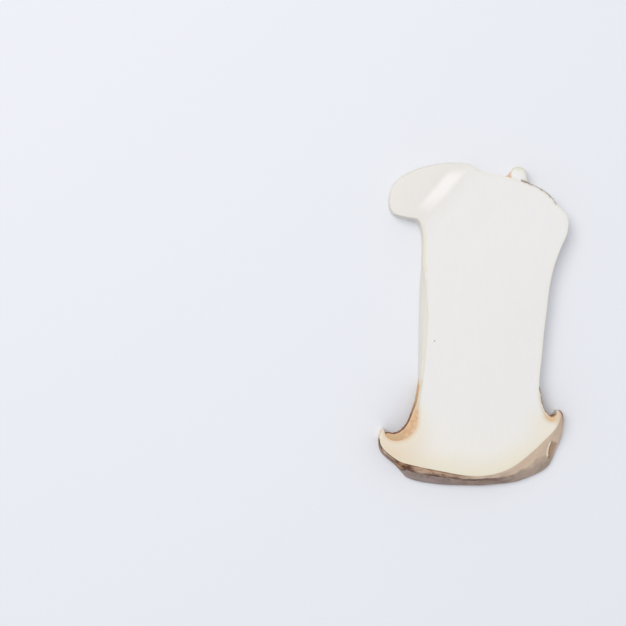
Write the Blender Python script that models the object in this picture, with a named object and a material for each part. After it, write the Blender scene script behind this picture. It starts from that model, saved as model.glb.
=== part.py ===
"""A slice of king oyster mushroom, cut lengthwise through stem and cap and lying on its larger cut face.

The slice is one piece, as it grew: white flesh between two cuts, the skin of the stem and cap round its
edge, and the gills that hang in the two notches between cap and stem and run a little way down the stem.

Lengths in the tables and constants are millimetres, and the mesh is made in metres with +Z up. The cap
points to -Y and the base of the stem to +Y. The origin is under the middle of the slice, on the surface
that it lies on.
"""

import math
import random

import bmesh
import bpy
import numpy as np
from mathutils import Vector
from mathutils.geometry import delaunay_2d_cdt

MM = 0.001

# Thickness between the two cuts, and the height of the mushroom's own axis over the lower one.
THICKNESS = 8.0
AXIS_X = 2.5
AXIS_HEIGHT = 1.0

# The edge of the upper cut, counter-clockwise from above: x, y and how far the skin below leans out.
CAP_EDGE = [
    (-36.5, -42.4, 0.0),
    (-37.9, -45.3, 0.3),
    (-37.9, -48.3, 0.5),
    (-36.3, -51.0, 1.7),
    (-29.6, -55.8, 3.0),
    (-25.6, -57.0, 6.0),
    (-13.8, -59.5, 6.3),
    (-1.3, -61.5, 4.8),
    (8.5, -60.8, 5.2),
    (15.8, -57.9, 7.5),
    (24.0, -51.5, 10.1),
    (28.1, -47.6, 8.3),
    (32.6, -43.1, 5.4),
    (34.9, -39.2, 2.9),
    (35.2, -36.5, 1.8),
]
RIGHT_NOTCH = [
    (34.1, -35.3, 0.3),
    (33.3, -37.2, 0.2),
    (32.3, -39.1, 0.2),
    (30.4, -38.9, 0.2),
    (28.6, -36.6, 0.3),
    (27.2, -32.2, 0.6),
]
RIGHT_STEM = [
    (26.6, -26.0, 0.9),
    (27.7, -13.0, 0.9),
    (29.8, 6.0, 0.9),
    (31.9, 20.0, 0.9),
    (35.3, 30.4, 0.8),
    (38.2, 37.6, 0.7),
]
BASE = [
    (38.0, 43.4, 0.7),
    (34.4, 47.8, 0.9),
    (29.9, 52.9, 1.2),
    (22.7, 56.9, 1.0),
    (12.0, 60.1, 0.6),
    (4.9, 61.4, 0.6),
    (1.8, 62.5, 0.6),
    (-1.2, 64.5, 0.7),
    (-8.0, 65.2, 0.8),
    (-17.0, 64.1, 0.9),
    (-27.1, 60.4, 0.9),
    (-31.8, 56.7, 0.6),
    (-33.8, 49.9, 0.4),
    (-32.5, 45.3, 0.5),
    (-27.0, 43.4, 0.6),
]
LEFT_STEM = [
    (-22.3, 42.2, 0.5),
    (-20.5, 36.4, 0.3),
    (-20.5, 24.6, 0.3),
    (-19.5, 18.6, 1.7),
    (-19.6, 2.0, 2.2),
    (-21.6, -26.0, 0.6),
]
LEFT_NOTCH = [
    (-22.6, -36.0, 0.4),
    (-23.5, -41.9, 0.2),
    (-27.0, -45.9, 0.2),
    (-32.3, -47.0, 0.2),
    (-35.3, -45.3, 0.2),
]
OUTLINE = np.array(CAP_EDGE + RIGHT_NOTCH + RIGHT_STEM + BASE + LEFT_STEM + LEFT_NOTCH)
EDGE_STEP = 2.4
TOP_GRID = 7.0
SHARP_ANGLE = math.radians(25.0)

# Heights of the rings of points round the side, as shares of the way down from the upper cut.
SIDE_LEVELS = (0.0, 0.18, 0.36, 0.6, 0.8, 1.0)

# A scrap of the base that sticks out below the upper cut.
NUB_X = 17.9
NUB_HALF_WIDTH = 3.3
NUB_LENGTH = 5.0
NUB_MIN_Y = 50.0
NUB_TOP = (0.08, 0.24)

# One corner of the base sinks away beyond a soft ridge through RIDGE_POINT.
RIDGE_POINT = (-14.0, 53.0)
RIDGE_OUTWARD = (-0.76, 0.65)
RIDGE_SOFTNESS = 5.0
CORNER_SLOPE = 0.2
WAVE_HEIGHT = 0.2

# Gills: blades in planes through the mushroom's axis, with their roots sunk in the flesh of the notches.
GILL_PITCH = 1.3
GILL_THICKNESS = 0.64
GILL_ROOT = 1.0
GILL_STATIONS = 16
GILL_CLEARANCE = 0.45
GILL_WANDER = 0.12
SHORT_GILL_REACH = 30.0
GILL_SEED = 7
# Free edge of the gills from the cap's margin to the stem: x, y and the position along OUTLINE of the root.
# The first and last rows only guide the curve.
LEFT_GILLS = np.array([
    (-36.3, -43.4, 52.8),
    (-35.6, -44.4, 52.4),
    (-34.3, -44.3, 51.9),
    (-32.6, -44.7, 51.3),
    (-30.8, -44.3, 50.8),
    (-29.0, -43.3, 50.3),
    (-27.4, -41.6, 49.8),
    (-26.2, -39.7, 49.4),
    (-24.9, -36.6, 48.6),
    (-24.0, -34.4, 48.1),
    (-22.9, -31.2, 47.6),
    (-22.1, -27.4, 47.1),
    (-21.4, -22.0, 46.86),
    (-21.1, -20.0, 46.79),
])
RIGHT_GILLS = np.array([
    (34.9, -35.6, 14.8),
    (34.2, -36.7, 15.5),
    (33.3, -36.7, 16.1),
    (32.2, -37.6, 16.9),
    (31.0, -37.3, 17.8),
    (29.6, -35.8, 18.8),
    (28.5, -34.0, 19.5),
    (27.7, -31.5, 20.1),
    (27.1, -28.2, 20.6),
    (26.4, -24.0, 21.1),
    (26.3, -22.0, 21.3),
])

# Linear RGB.
FLESH_COLOUR = (0.84, 0.81, 0.75, 1.0)
FLESH_ROUGHNESS = 0.55


def smoothstep(low, high, value):
    """0 below low, 1 above high, and smooth between them."""
    share = np.clip((value - low) / (high - low), 0.0, 1.0)
    return share * share * (3.0 - 2.0 * share)


def curve_at(rows, position):
    """Values on the smooth closed curve through the rows, at positions counted in rows."""
    position = np.atleast_1d(np.asarray(position, float))
    first = np.floor(position).astype(int)
    before, start, end, after = (rows[(first + k) % len(rows)] for k in (-1, 0, 1, 2))

    def knot(a, b):
        return np.sqrt(np.linalg.norm((b - a)[:, :2], axis=1))

    knot_start = knot(before, start)
    knot_end = knot_start + knot(start, end)
    knot_after = knot_end + knot(end, after)
    here = knot_start + (position - first) * (knot_end - knot_start)

    def mix(a, b, at_a, at_b):
        share = ((here - at_a) / (at_b - at_a))[:, None]
        return a + (b - a) * share

    rising = mix(before, start, 0.0, knot_start)
    middle = mix(start, end, knot_start, knot_end)
    falling = mix(end, after, knot_end, knot_after)
    return mix(
        mix(rising, middle, 0.0, knot_end),
        mix(middle, falling, knot_start, knot_after),
        knot_start,
        knot_end,
    )


def outline_at(position):
    """The edge of the upper cut at positions counted in rows of OUTLINE."""
    return curve_at(OUTLINE, position)


def outward_at(position):
    """Unit normals of the outline, pointing out of the slice."""
    step = 0.02
    along = (outline_at(position + step) - outline_at(position - step))[:, :2]
    out = np.column_stack([along[:, 1], -along[:, 0]])
    return out / np.linalg.norm(out, axis=1, keepdims=True)


def side_points(position, level):
    """Points on the skin at positions along the outline: level 0 is the upper cut, 1 the lower one."""
    position = np.atleast_1d(np.asarray(position, float))
    edge = outline_at(position)
    lean = edge[:, 2] * np.sin(level * math.pi / 2.0)
    across = (edge[:, 0] - NUB_X) / NUB_HALF_WIDTH
    nub = NUB_LENGTH * np.exp(-(across**4)) * (edge[:, 1] > NUB_MIN_Y)
    return edge[:, :2] + outward_at(position) * (lean + nub * smoothstep(*NUB_TOP, level))[:, None]


def top_height(points):
    """Height of the upper cut: gently wavy, and falling away beyond the ridge at one corner."""
    x, y = points[:, 0], points[:, 1]
    beyond = (x - RIDGE_POINT[0]) * RIDGE_OUTWARD[0] + (y - RIDGE_POINT[1]) * RIDGE_OUTWARD[1]
    fall = CORNER_SLOPE * RIDGE_SOFTNESS * np.logaddexp(0.0, beyond / RIDGE_SOFTNESS)
    wave = WAVE_HEIGHT * (np.sin(x / 11.0 + 0.6) * np.cos(y / 17.0) + 0.5 * np.sin(y / 9.0 - x / 23.0))
    return THICKNESS - fall + wave


def edge_positions():
    """Positions along the outline, an even number for each stretch between two of its rows."""
    ends = outline_at(np.arange(len(OUTLINE) + 1))[:, :2]
    lengths = np.linalg.norm(np.diff(ends, axis=0), axis=1)
    return np.concatenate(
        [
            row + np.linspace(0.0, 1.0, max(2, round(length / EDGE_STEP)), endpoint=False)
            for row, length in enumerate(lengths)
        ]
    )


def inside(points, loop):
    """True for each point that lies inside the closed loop."""
    following = np.roll(loop, -1, axis=0)
    x, y = points[:, :1], points[:, 1:]
    crosses = (loop[:, 1] > y) != (following[:, 1] > y)
    rise = np.where(following[:, 1] == loop[:, 1], 1.0, following[:, 1] - loop[:, 1])
    where = loop[:, 0] + (y - loop[:, 1]) / rise * (following[:, 0] - loop[:, 0])
    return (crosses & (x < where)).sum(axis=1) % 2 == 1


def grid_inside(loop, spacing):
    """Points of a triangular grid that lie inside the loop, clear of its edge."""
    low, high = loop.min(axis=0), loop.max(axis=0)
    row_height = spacing * math.sqrt(0.75)
    points = []
    for row, y in enumerate(np.arange(low[1], high[1], row_height)):
        for x in np.arange(low[0] + spacing * 0.5 * (row % 2), high[0], spacing):
            points.append((x, y))
    points = np.array(points)
    points = points[inside(points, loop)]
    gaps = np.linalg.norm(points[:, None] - loop[None], axis=2).min(axis=1)
    return points[gaps > spacing * 0.4]


def triangles_inside(loop, extra):
    """Triangles, as indices, that fill the loop and use the extra points inside it."""
    points = [Vector(p) for p in np.vstack([loop, extra])]
    filled = delaunay_2d_cdt(points, [], [list(range(len(loop)))], 1, 1e-6)
    faces, source = filled[2], filled[3]
    return [[source[corner][0] for corner in face] for face in faces]


def new_mesh_object(name, bm):
    """Closes off a bmesh whose lengths are millimetres as an object in metres, all triangles."""
    bmesh.ops.triangulate(bm, faces=bm.faces[:])
    bmesh.ops.recalc_face_normals(bm, faces=bm.faces[:])
    bmesh.ops.scale(bm, vec=(MM, MM, MM), verts=bm.verts[:])
    mesh = bpy.data.meshes.new(name)
    bm.to_mesh(mesh)
    bm.free()
    made = bpy.data.objects.new(name, mesh)
    bpy.context.scene.collection.objects.link(made)
    return made


def make_body():
    """The slice without its gills: two cut faces joined by the skin round the edge."""
    bm = bmesh.new()
    positions = edge_positions()
    count = len(positions)
    rings = []
    for level in SIDE_LEVELS:
        flat = side_points(positions, level)
        rim_height = top_height(side_points(positions, 0.0))
        heights = rim_height * (1.0 - level)
        rings.append([bm.verts.new((x, y, z)) for (x, y), z in zip(flat, heights)])
    for upper, lower in zip(rings, rings[1:]):
        for i in range(count):
            j = (i + 1) % count
            bm.faces.new((upper[i], lower[i], lower[j], upper[j]))

    top_loop = side_points(positions, 0.0)
    inner = grid_inside(top_loop, TOP_GRID)
    inner_verts = [bm.verts.new((x, y, z)) for (x, y), z in zip(inner, top_height(inner))]
    top_verts = rings[0] + inner_verts
    for corners in triangles_inside(top_loop, inner):
        bm.faces.new([top_verts[c] for c in corners])

    bottom_loop = side_points(positions, 1.0)
    for corners in triangles_inside(bottom_loop, np.empty((0, 2))):
        bm.faces.new([rings[-1][c] for c in reversed(corners)])
    return new_mesh_object("mushroom_slice", bm)


def gill_stations(free_edge, ending, rise, reach):
    """Rows of the free edge where a blade of this rise lies between the cuts, beyond the given radius."""
    share = np.linspace(0.0, 1.0, GILL_STATIONS * 8)
    rows = curve_at(free_edge, 1.0 + (len(free_edge) - 3.0) * share * ending)
    radius = np.abs(rows[:, 0] - AXIS_X)
    height = AXIS_HEIGHT + radius * rise
    room = top_height(rows) - GILL_CLEARANCE
    kept = rows[(height > GILL_CLEARANCE) & (height < room) & (radius > reach)]
    if len(kept) < 2 * GILL_STATIONS:
        return kept[:0]
    return kept[np.linspace(0, len(kept) - 1, GILL_STATIONS).round().astype(int)]


def make_gill(stations, rise, wander):
    """One blade: its root lies in the flesh and its free edge stands in the notch."""
    position = stations[:, 2]
    edge = outline_at(position)[:, :2]
    ripple = GILL_WANDER * np.sin(np.linspace(wander, wander + 9.0, len(stations)))
    height = AXIS_HEIGHT + np.abs(stations[:, 0] - AXIS_X) * rise + ripple
    level = 1.0 - height / top_height(edge)
    skin = np.array([side_points(p, s)[0] for p, s in zip(position, level)])
    root = edge - outward_at(position) * GILL_ROOT
    free = stations[:, :2] + skin - edge
    half = GILL_THICKNESS / 2.0

    bm = bmesh.new()
    sections = []
    for (rx, ry), (fx, fy), z in zip(root, free, height):
        corners = ((rx, ry, z - half), (rx, ry, z + half), (fx, fy, z + half), (fx, fy, z - half))
        sections.append([bm.verts.new(c) for c in corners])
    for near, far in zip(sections, sections[1:]):
        for i in range(4):
            j = (i + 1) % 4
            bm.faces.new((near[i], near[j], far[j], far[i]))
    bm.faces.new(sections[0])
    bm.faces.new(reversed(sections[-1]))
    return new_mesh_object("gill", bm)


def make_gills(free_edge, rng):
    """The blades of one notch: full gills, with short ones between them near the cap's margin."""
    made = []
    stem_half_width = np.abs(free_edge[:, 0] - AXIS_X).min()
    pitch = GILL_PITCH / stem_half_width
    lowest = (GILL_CLEARANCE - AXIS_HEIGHT) / stem_half_width
    for number in range(2 * math.ceil(THICKNESS / GILL_PITCH)):
        rise = lowest + 0.5 * pitch * number
        reach = SHORT_GILL_REACH if number % 2 else 0.0
        ending = rng.uniform(0.9, 1.0)
        wander = rng.uniform(0.0, 2.0 * math.pi)
        stations = gill_stations(free_edge, ending, rise, reach)
        if len(stations):
            made.append(make_gill(stations, rise, wander))
    return made


def join_gills(body, blades):
    """Grows the blades into the body with one union."""
    group = bpy.data.collections.new("gills")
    for blade in blades:
        bpy.context.scene.collection.objects.unlink(blade)
        group.objects.link(blade)
    bpy.context.scene.collection.children.link(group)
    union = body.modifiers.new("gills", "BOOLEAN")
    union.operation = "UNION"
    union.solver = "EXACT"
    union.use_self = True
    union.operand_type = "COLLECTION"
    union.collection = group
    joined = bpy.data.meshes.new_from_object(body.evaluated_get(bpy.context.evaluated_depsgraph_get()))
    body.modifiers.clear()
    body.data = joined
    for blade in blades:
        bpy.data.objects.remove(blade)
    bpy.data.collections.remove(group)


def centre_on_origin(body):
    """Moves the mesh so that the middle of its box is over the origin and its lower cut is at height 0."""
    corners = np.array([v.co for v in body.data.vertices])
    low, high = corners.min(axis=0), corners.max(axis=0)
    shift = Vector((-(low[0] + high[0]) / 2.0, -(low[1] + high[1]) / 2.0, -low[2]))
    for vertex in body.data.vertices:
        vertex.co += shift
    body.data.update()


def flesh_material():
    """Ivory flesh, damp and a little glossy."""
    material = bpy.data.materials.new("mushroom_flesh")
    material.use_nodes = True
    shader = material.node_tree.nodes["Principled BSDF"]
    shader.inputs["Base Color"].default_value = FLESH_COLOUR
    shader.inputs["Roughness"].default_value = FLESH_ROUGHNESS
    shader.inputs["Metallic"].default_value = 0.0
    return material


def main():
    for old in list(bpy.data.objects):
        bpy.data.objects.remove(old)
    rng = random.Random(GILL_SEED)
    body = make_body()
    blades = make_gills(LEFT_GILLS, rng) + make_gills(RIGHT_GILLS, rng)
    join_gills(body, blades)
    centre_on_origin(body)
    body.data.shade_smooth()
    body.data.set_sharp_from_angle(angle=SHARP_ANGLE)
    body.data.materials.clear()
    body.data.materials.append(flesh_material())


main()
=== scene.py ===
"""The looks of a slice of king oyster mushroom: its two cut faces, the skin round them and its gills.

Tables and constants are millimetres unless their name says otherwise, measured as in the solid: the cap
points to -Y and the base of the stem to +Y. Meshes are made in metres.
"""

import math
import random

import bmesh
import bpy
import numpy as np
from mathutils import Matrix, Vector, noise
from mathutils.geometry import delaunay_2d_cdt


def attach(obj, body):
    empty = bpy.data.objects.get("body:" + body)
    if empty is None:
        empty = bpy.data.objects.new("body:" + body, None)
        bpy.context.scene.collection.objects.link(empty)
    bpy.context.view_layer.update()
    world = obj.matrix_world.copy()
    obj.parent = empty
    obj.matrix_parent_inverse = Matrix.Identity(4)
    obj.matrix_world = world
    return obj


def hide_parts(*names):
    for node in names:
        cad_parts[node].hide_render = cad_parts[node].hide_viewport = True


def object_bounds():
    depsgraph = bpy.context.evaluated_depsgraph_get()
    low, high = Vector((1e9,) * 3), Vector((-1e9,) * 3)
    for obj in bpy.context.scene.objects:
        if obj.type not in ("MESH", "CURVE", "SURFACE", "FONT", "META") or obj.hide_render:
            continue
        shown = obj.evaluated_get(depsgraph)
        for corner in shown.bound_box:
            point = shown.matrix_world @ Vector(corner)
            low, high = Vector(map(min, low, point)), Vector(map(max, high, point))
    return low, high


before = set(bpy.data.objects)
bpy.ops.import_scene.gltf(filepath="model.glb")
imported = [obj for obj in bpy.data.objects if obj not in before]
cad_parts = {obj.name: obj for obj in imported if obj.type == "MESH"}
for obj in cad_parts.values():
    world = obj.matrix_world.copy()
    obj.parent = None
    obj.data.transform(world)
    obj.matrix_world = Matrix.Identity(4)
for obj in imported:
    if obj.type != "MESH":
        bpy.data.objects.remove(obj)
CAD_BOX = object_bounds()

MM = 0.001
SOLID = "mushroom_slice"

THICKNESS = 8.0
AXIS_X = 2.5
AXIS_HEIGHT = 1.0

# The edge of the upper cut, counter-clockwise from above: x, y and how far the skin below leans out.
CAP_EDGE = [
    (-36.5, -42.4, 0.0),
    (-37.9, -45.3, 0.3),
    (-37.9, -48.3, 0.5),
    (-36.3, -51.0, 1.7),
    (-29.6, -55.8, 3.0),
    (-25.6, -57.0, 6.0),
    (-13.8, -59.5, 6.3),
    (-1.3, -61.5, 4.8),
    (8.5, -60.8, 5.2),
    (15.8, -57.9, 7.5),
    (24.0, -51.5, 10.1),
    (28.1, -47.6, 8.3),
    (32.6, -43.1, 5.4),
    (34.9, -39.2, 2.9),
    (35.2, -36.5, 1.8),
]
RIGHT_NOTCH = [
    (34.1, -35.3, 0.3),
    (33.3, -37.2, 0.2),
    (32.3, -39.1, 0.2),
    (30.4, -38.9, 0.2),
    (28.6, -36.6, 0.3),
    (27.2, -32.2, 0.6),
]
RIGHT_STEM = [
    (26.6, -26.0, 0.9),
    (27.7, -13.0, 0.9),
    (29.8, 6.0, 0.9),
    (31.9, 20.0, 0.9),
    (35.3, 30.4, 0.8),
    (38.2, 37.6, 0.7),
]
BASE = [
    (38.0, 43.4, 0.7),
    (34.4, 47.8, 0.9),
    (29.9, 52.9, 1.2),
    (22.7, 56.9, 1.0),
    (12.0, 60.1, 0.6),
    (4.9, 61.4, 0.6),
    (1.8, 62.5, 0.6),
    (-1.2, 64.5, 0.7),
    (-8.0, 65.2, 0.8),
    (-17.0, 64.1, 0.9),
    (-27.1, 60.4, 0.9),
    (-31.8, 56.7, 0.6),
    (-33.8, 49.9, 0.4),
    (-32.5, 45.3, 0.5),
    (-27.0, 43.4, 0.6),
]
LEFT_STEM = [
    (-22.3, 42.2, 0.5),
    (-20.5, 36.4, 0.3),
    (-20.5, 24.6, 0.3),
    (-19.5, 18.6, 1.7),
    (-19.6, 2.0, 2.2),
    (-21.6, -26.0, 0.6),
]
LEFT_NOTCH = [
    (-22.6, -36.0, 0.4),
    (-23.5, -41.9, 0.2),
    (-27.0, -45.9, 0.2),
    (-32.3, -47.0, 0.2),
    (-35.3, -45.3, 0.2),
]
OUTLINE = np.array(CAP_EDGE + RIGHT_NOTCH + RIGHT_STEM + BASE + LEFT_STEM + LEFT_NOTCH)

# Stretches of the outline, as positions counted in its rows: the cap's skin, its crease, the two notches, and
# the part of the stem's left edge where the cut rounds softly into the skin. The cap has two sharp tips.
CAP_STRETCH = (0.4, 14.6)
CREASE_STRETCH = (4.2, 10.6)
RIGHT_GILL_STRETCH = (15.4, 20.8)
LEFT_GILL_STRETCH = (47.0, 52.6)
SOFT_EDGE_STRETCH = (45.7, 46.9)
TIPS = (0.0, 15.0)

# A scrap of the base that sticks out below the upper cut.
NUB_X = 17.9
NUB_HALF_WIDTH = 3.3
NUB_LENGTH = 5.0
NUB_MIN_Y = 50.0
NUB_TOP = (0.08, 0.24)

# One corner of the base sinks away beyond a soft ridge through RIDGE_POINT.
RIDGE_POINT = (-14.0, 53.0)
RIDGE_OUTWARD = (-0.76, 0.65)
RIDGE_SOFTNESS = 5.0
CORNER_SLOPE = 0.2
WAVE_HEIGHT = 0.2

# How the flesh's fibres run: where they spread out, and by how much.
CAP_SPREAD = (-22.0, -62.0)
BASE_SPREAD = (18.0, 62.0)
STEM_HALF_WIDTH = 24.0
CAP_WIDENING = 15.0
BASE_WIDENING = 10.0
CAP_BEND = 0.002

# Low relief of the cut faces and of the skin.
FIBRE_HEIGHT = 0.018
FLESH_SWELL_HEIGHT = 0.05
FLESH_SINK = 0.07
SWELL_HEIGHT = 0.14
FIBRIL_HEIGHT = 0.035
STEM_GRAIN_HEIGHT = 0.02
BASE_GRAIN_HEIGHT = 0.12
CREASE_DEPTH = 0.22
CREASE_HALF_WIDTH = 0.3
SKIN_SINK = 0.12

# Fineness of the slice's mesh.
RING_POINTS = 1240
WALL_RINGS = 32
ROUNDING_ANGLES = (0.0, 28.0, 55.0, 78.0)
TOP_GRID = 0.62
BOTTOM_GRID = 1.5
CUT_ROUNDING = 0.22
NOTCH_ROUNDING = 0.3
SOFT_EDGE_ROUNDING = 1.1
LOWER_ROUNDING = 0.3
TIP_ROUNDING = 0.08

# Free edge of the gills from the cap's margin to the stem: x, y and the position along OUTLINE of the root.
# The first and last rows only guide the curve.
LEFT_GILLS = np.array([
    (-36.3, -43.4, 52.8),
    (-35.6, -44.4, 52.4),
    (-34.3, -44.3, 51.9),
    (-32.6, -44.7, 51.3),
    (-30.8, -44.3, 50.8),
    (-29.0, -43.3, 50.3),
    (-27.4, -41.6, 49.8),
    (-26.2, -39.7, 49.4),
    (-24.9, -36.6, 48.6),
    (-24.0, -34.4, 48.1),
    (-22.9, -31.2, 47.6),
    (-22.1, -27.4, 47.1),
    (-21.4, -22.0, 46.86),
    (-21.1, -20.0, 46.79),
])
RIGHT_GILLS = np.array([
    (34.9, -35.6, 14.8),
    (34.2, -36.7, 15.5),
    (33.3, -36.7, 16.1),
    (32.2, -37.6, 16.9),
    (31.0, -37.3, 17.8),
    (29.6, -35.8, 18.8),
    (28.5, -34.0, 19.5),
    (27.7, -31.5, 20.1),
    (27.1, -28.2, 20.6),
    (26.4, -24.0, 21.1),
    (26.3, -22.0, 21.3),
])
GILL_PITCH = 0.56
GILL_THICKNESS = (0.6, 0.2)
GILL_ROOT = 1.0
GILL_STATIONS = 72
GILL_ACROSS = 5
GILL_TOP_GAP = 0.03
CLIP_GAP = 0.22
GILL_BOTTOM_GAP = 0.04
GILL_WANDER = 0.1
GILL_CREASE_ANGLE = 50.0
GILL_JITTER = 0.12
SHORT_GILL_ENDINGS = (0.34, 0.5)
LONG_GILL_ENDINGS = (0.86, 1.0)
SHORT_GILL_DEPTHS = (0.5, 0.8)
LEFT_TINT_SPAN = (-30.0, -38.0)
RIGHT_TINT_SPAN = (-35.0, -38.6)

# The stretch of the base's edge that has a brown thread of skin, and the width of that thread.
THREAD_STRETCH = (28.2, 30.3)
THREAD_WIDTH = 0.36
THREAD_END_LEVELS = (0.12, 0.36)

# The nick in the cap's skin and a speck on the cut, as x and y seen from above.
NICK_TOP = (32.0, -47.5)
NICK_BOTTOM = (31.2, -55.5)
NICK_LEFT_BULGE = 1.0
NICK_RIGHT_BULGE = 3.7
NICK_DEPTH = 0.6
NICK_MAX_Y = -40.0
SPECK = (-15.8, -6.9)
SPECK_RADIUS = 0.42
SPECK_DEPTH = 0.12

# The photograph's camera: straight above a point beside the slice.
CAMERA_OVER = (-65.0, 4.455)
CAMERA_DISTANCE = 598.0
LENS_MM = 85.0

# The stage, in metres and watts. Each light has a name, a place, a target, a size, a power and a tint.
FLOOR_HALF_SIZE = 1.5
FLOOR_DROP = 0.00005
SKY_COLOUR = (0.93, 0.96, 1.0, 1.0)
SKY_STRENGTH = 0.68
LIGHTS = [
    ("key", (-0.8, 0.72, 1.7), (0.0, 0.0, 0.0), 1.2, 17.4, (1.0, 0.98, 0.95)),
    ("crest", (-0.06, 0.218, 0.75), (0.0, 0.05, 0.0), 0.08, 0.26, (1.0, 0.99, 0.97)),
]

SEED = 11


def smoothstep(low, high, value):
    """0 below low, 1 above high, and smooth between them."""
    share = np.clip((value - low) / (high - low), 0.0, 1.0)
    return share * share * (3.0 - 2.0 * share)


def within(value, low, high, soft):
    """1 between low and high and 0 outside, with soft ends."""
    return smoothstep(low - soft, low + soft, value) * (1.0 - smoothstep(high - soft, high + soft, value))


def noise_at(points, scales, seed=0.0):
    """Smooth noise from -1 to 1 at rows of points, each coordinate divided by its scale."""
    places = points / np.array(scales) + seed
    return np.array([noise.noise(Vector(place)) for place in places])


def curve_at(rows, position):
    """Values on the smooth closed curve through the rows, at positions counted in rows."""
    position = np.atleast_1d(np.asarray(position, float))
    first = np.floor(position).astype(int)
    before, start, end, after = (rows[(first + k) % len(rows)] for k in (-1, 0, 1, 2))

    def knot(a, b):
        return np.sqrt(np.linalg.norm((b - a)[:, :2], axis=1))

    knot_start = knot(before, start)
    knot_end = knot_start + knot(start, end)
    knot_after = knot_end + knot(end, after)
    here = knot_start + (position - first) * (knot_end - knot_start)

    def mix(a, b, at_a, at_b):
        share = ((here - at_a) / (at_b - at_a))[:, None]
        return a + (b - a) * share

    rising = mix(before, start, 0.0, knot_start)
    middle = mix(start, end, knot_start, knot_end)
    falling = mix(end, after, knot_end, knot_after)
    return mix(
        mix(rising, middle, 0.0, knot_end),
        mix(middle, falling, knot_start, knot_after),
        knot_start,
        knot_end,
    )


def outline_at(position):
    """The edge of the upper cut at positions counted in rows of OUTLINE."""
    return curve_at(OUTLINE, position)


def outward_at(position):
    """Unit normals of the outline, pointing out of the slice."""
    step = 0.02
    along = (outline_at(position + step) - outline_at(position - step))[:, :2]
    out = np.column_stack([along[:, 1], -along[:, 0]])
    return out / np.linalg.norm(out, axis=1, keepdims=True)


def skin_lean(position, level):
    """How far the skin stands out from the edge of the upper cut: level 0 is the upper cut, 1 the lower."""
    edge = outline_at(position)
    across = (edge[:, 0] - NUB_X) / NUB_HALF_WIDTH
    nub = NUB_LENGTH * np.exp(-(across**4)) * (edge[:, 1] > NUB_MIN_Y)
    return edge[:, 2] * np.sin(level * math.pi / 2.0) + nub * smoothstep(*NUB_TOP, level)


def top_height(points):
    """Height of the upper cut: gently wavy, and falling away beyond the ridge at one corner."""
    x, y = points[:, 0], points[:, 1]
    beyond = (x - RIDGE_POINT[0]) * RIDGE_OUTWARD[0] + (y - RIDGE_POINT[1]) * RIDGE_OUTWARD[1]
    fall = CORNER_SLOPE * RIDGE_SOFTNESS * np.logaddexp(0.0, beyond / RIDGE_SOFTNESS)
    wave = WAVE_HEIGHT * (np.sin(x / 11.0 + 0.6) * np.cos(y / 17.0) + 0.5 * np.sin(y / 9.0 - x / 23.0))
    return THICKNESS - fall + wave


def solid_shift():
    """What centres the tables' coordinates on the frame, as the solid is centred."""
    position = np.linspace(0.0, len(OUTLINE), 4000)
    upper_edge = outline_at(position)[:, :2]
    edges = np.vstack([upper_edge + outward_at(position) * skin_lean(position, k)[:, None] for k in (0, 1)])
    low, high = edges.min(axis=0), edges.max(axis=0)
    middle = (np.array(CAD_BOX[0]) + np.array(CAD_BOX[1]))[:2] / 2.0 / MM
    return middle - (low + high) / 2.0


SHIFT = solid_shift()


def in_metres(points):
    """Rows of x, y and z in millimetres moved to the frame's place, in metres."""
    return (np.asarray(points, float) + np.array([SHIFT[0], SHIFT[1], 0.0])) * MM


def rows_from_tip(position, tip):
    """How far positions along the outline are from a tip of the cap, counted in rows."""
    return np.abs((position - tip + len(OUTLINE) / 2.0) % len(OUTLINE) - len(OUTLINE) / 2.0)


def ring_positions():
    """Positions along the outline at even steps, closer together round the tips of the cap."""
    fine = np.linspace(0.0, len(OUTLINE), 40 * len(OUTLINE) + 1)
    steps = np.linalg.norm(np.diff(outline_at(fine)[:, :2], axis=0), axis=1)
    middle = (fine[1:] + fine[:-1]) / 2.0
    weight = np.ones(len(middle))
    for tip in TIPS:
        weight += 1.6 * np.exp(-((rows_from_tip(middle, tip) / 0.9) ** 2))
    travelled = np.concatenate([[0.0], np.cumsum(steps * weight)])
    return np.interp(np.linspace(0.0, travelled[-1], RING_POINTS, endpoint=False), travelled, fine)


def in_gills(position):
    """1 where the outline runs along a gilled notch."""
    return within(position, *RIGHT_GILL_STRETCH, 0.35) + within(position, *LEFT_GILL_STRETCH, 0.35)


def clear_of_tips(position):
    """0 at the sharp tips of the cap and 1 away from them."""
    clear = np.ones(len(position))
    for tip in TIPS:
        clear *= smoothstep(0.0, 1.1, rows_from_tip(position, tip))
    return clear


def skin_relief(points, position):
    """How far the skin sinks in: long swells, fine fibrils along it and the coarser base."""
    base = smoothstep(30.0, 55.0, points[:, 1])
    swell = SWELL_HEIGHT * noise_at(points, (9.0, 9.0, 5.0), 3.1)
    fibrils = FIBRIL_HEIGHT * noise_at(points, (4.5, 4.5, 0.35), 7.7)
    grain_height = STEM_GRAIN_HEIGHT + (BASE_GRAIN_HEIGHT - STEM_GRAIN_HEIGHT) * base
    grain = grain_height * noise_at(points, (1.3, 1.3, 1.1), 1.9)
    in_crease = within(position, *CREASE_STRETCH, 0.8)
    crease = CREASE_DEPTH * in_crease * np.exp(-((crease_gap(points, position) / CREASE_HALF_WIDTH) ** 2))
    return (swell + fibrils + grain - crease - SKIN_SINK) * clear_of_tips(position)


def crease_gap(points, position):
    """Height over the crease that runs along the cap's skin, a third of the way down."""
    crease_height = THICKNESS * (0.7 + 0.035 * np.sin(position * 1.9) + 0.02 * np.sin(position * 5.3))
    return points[:, 2] - crease_height


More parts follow.
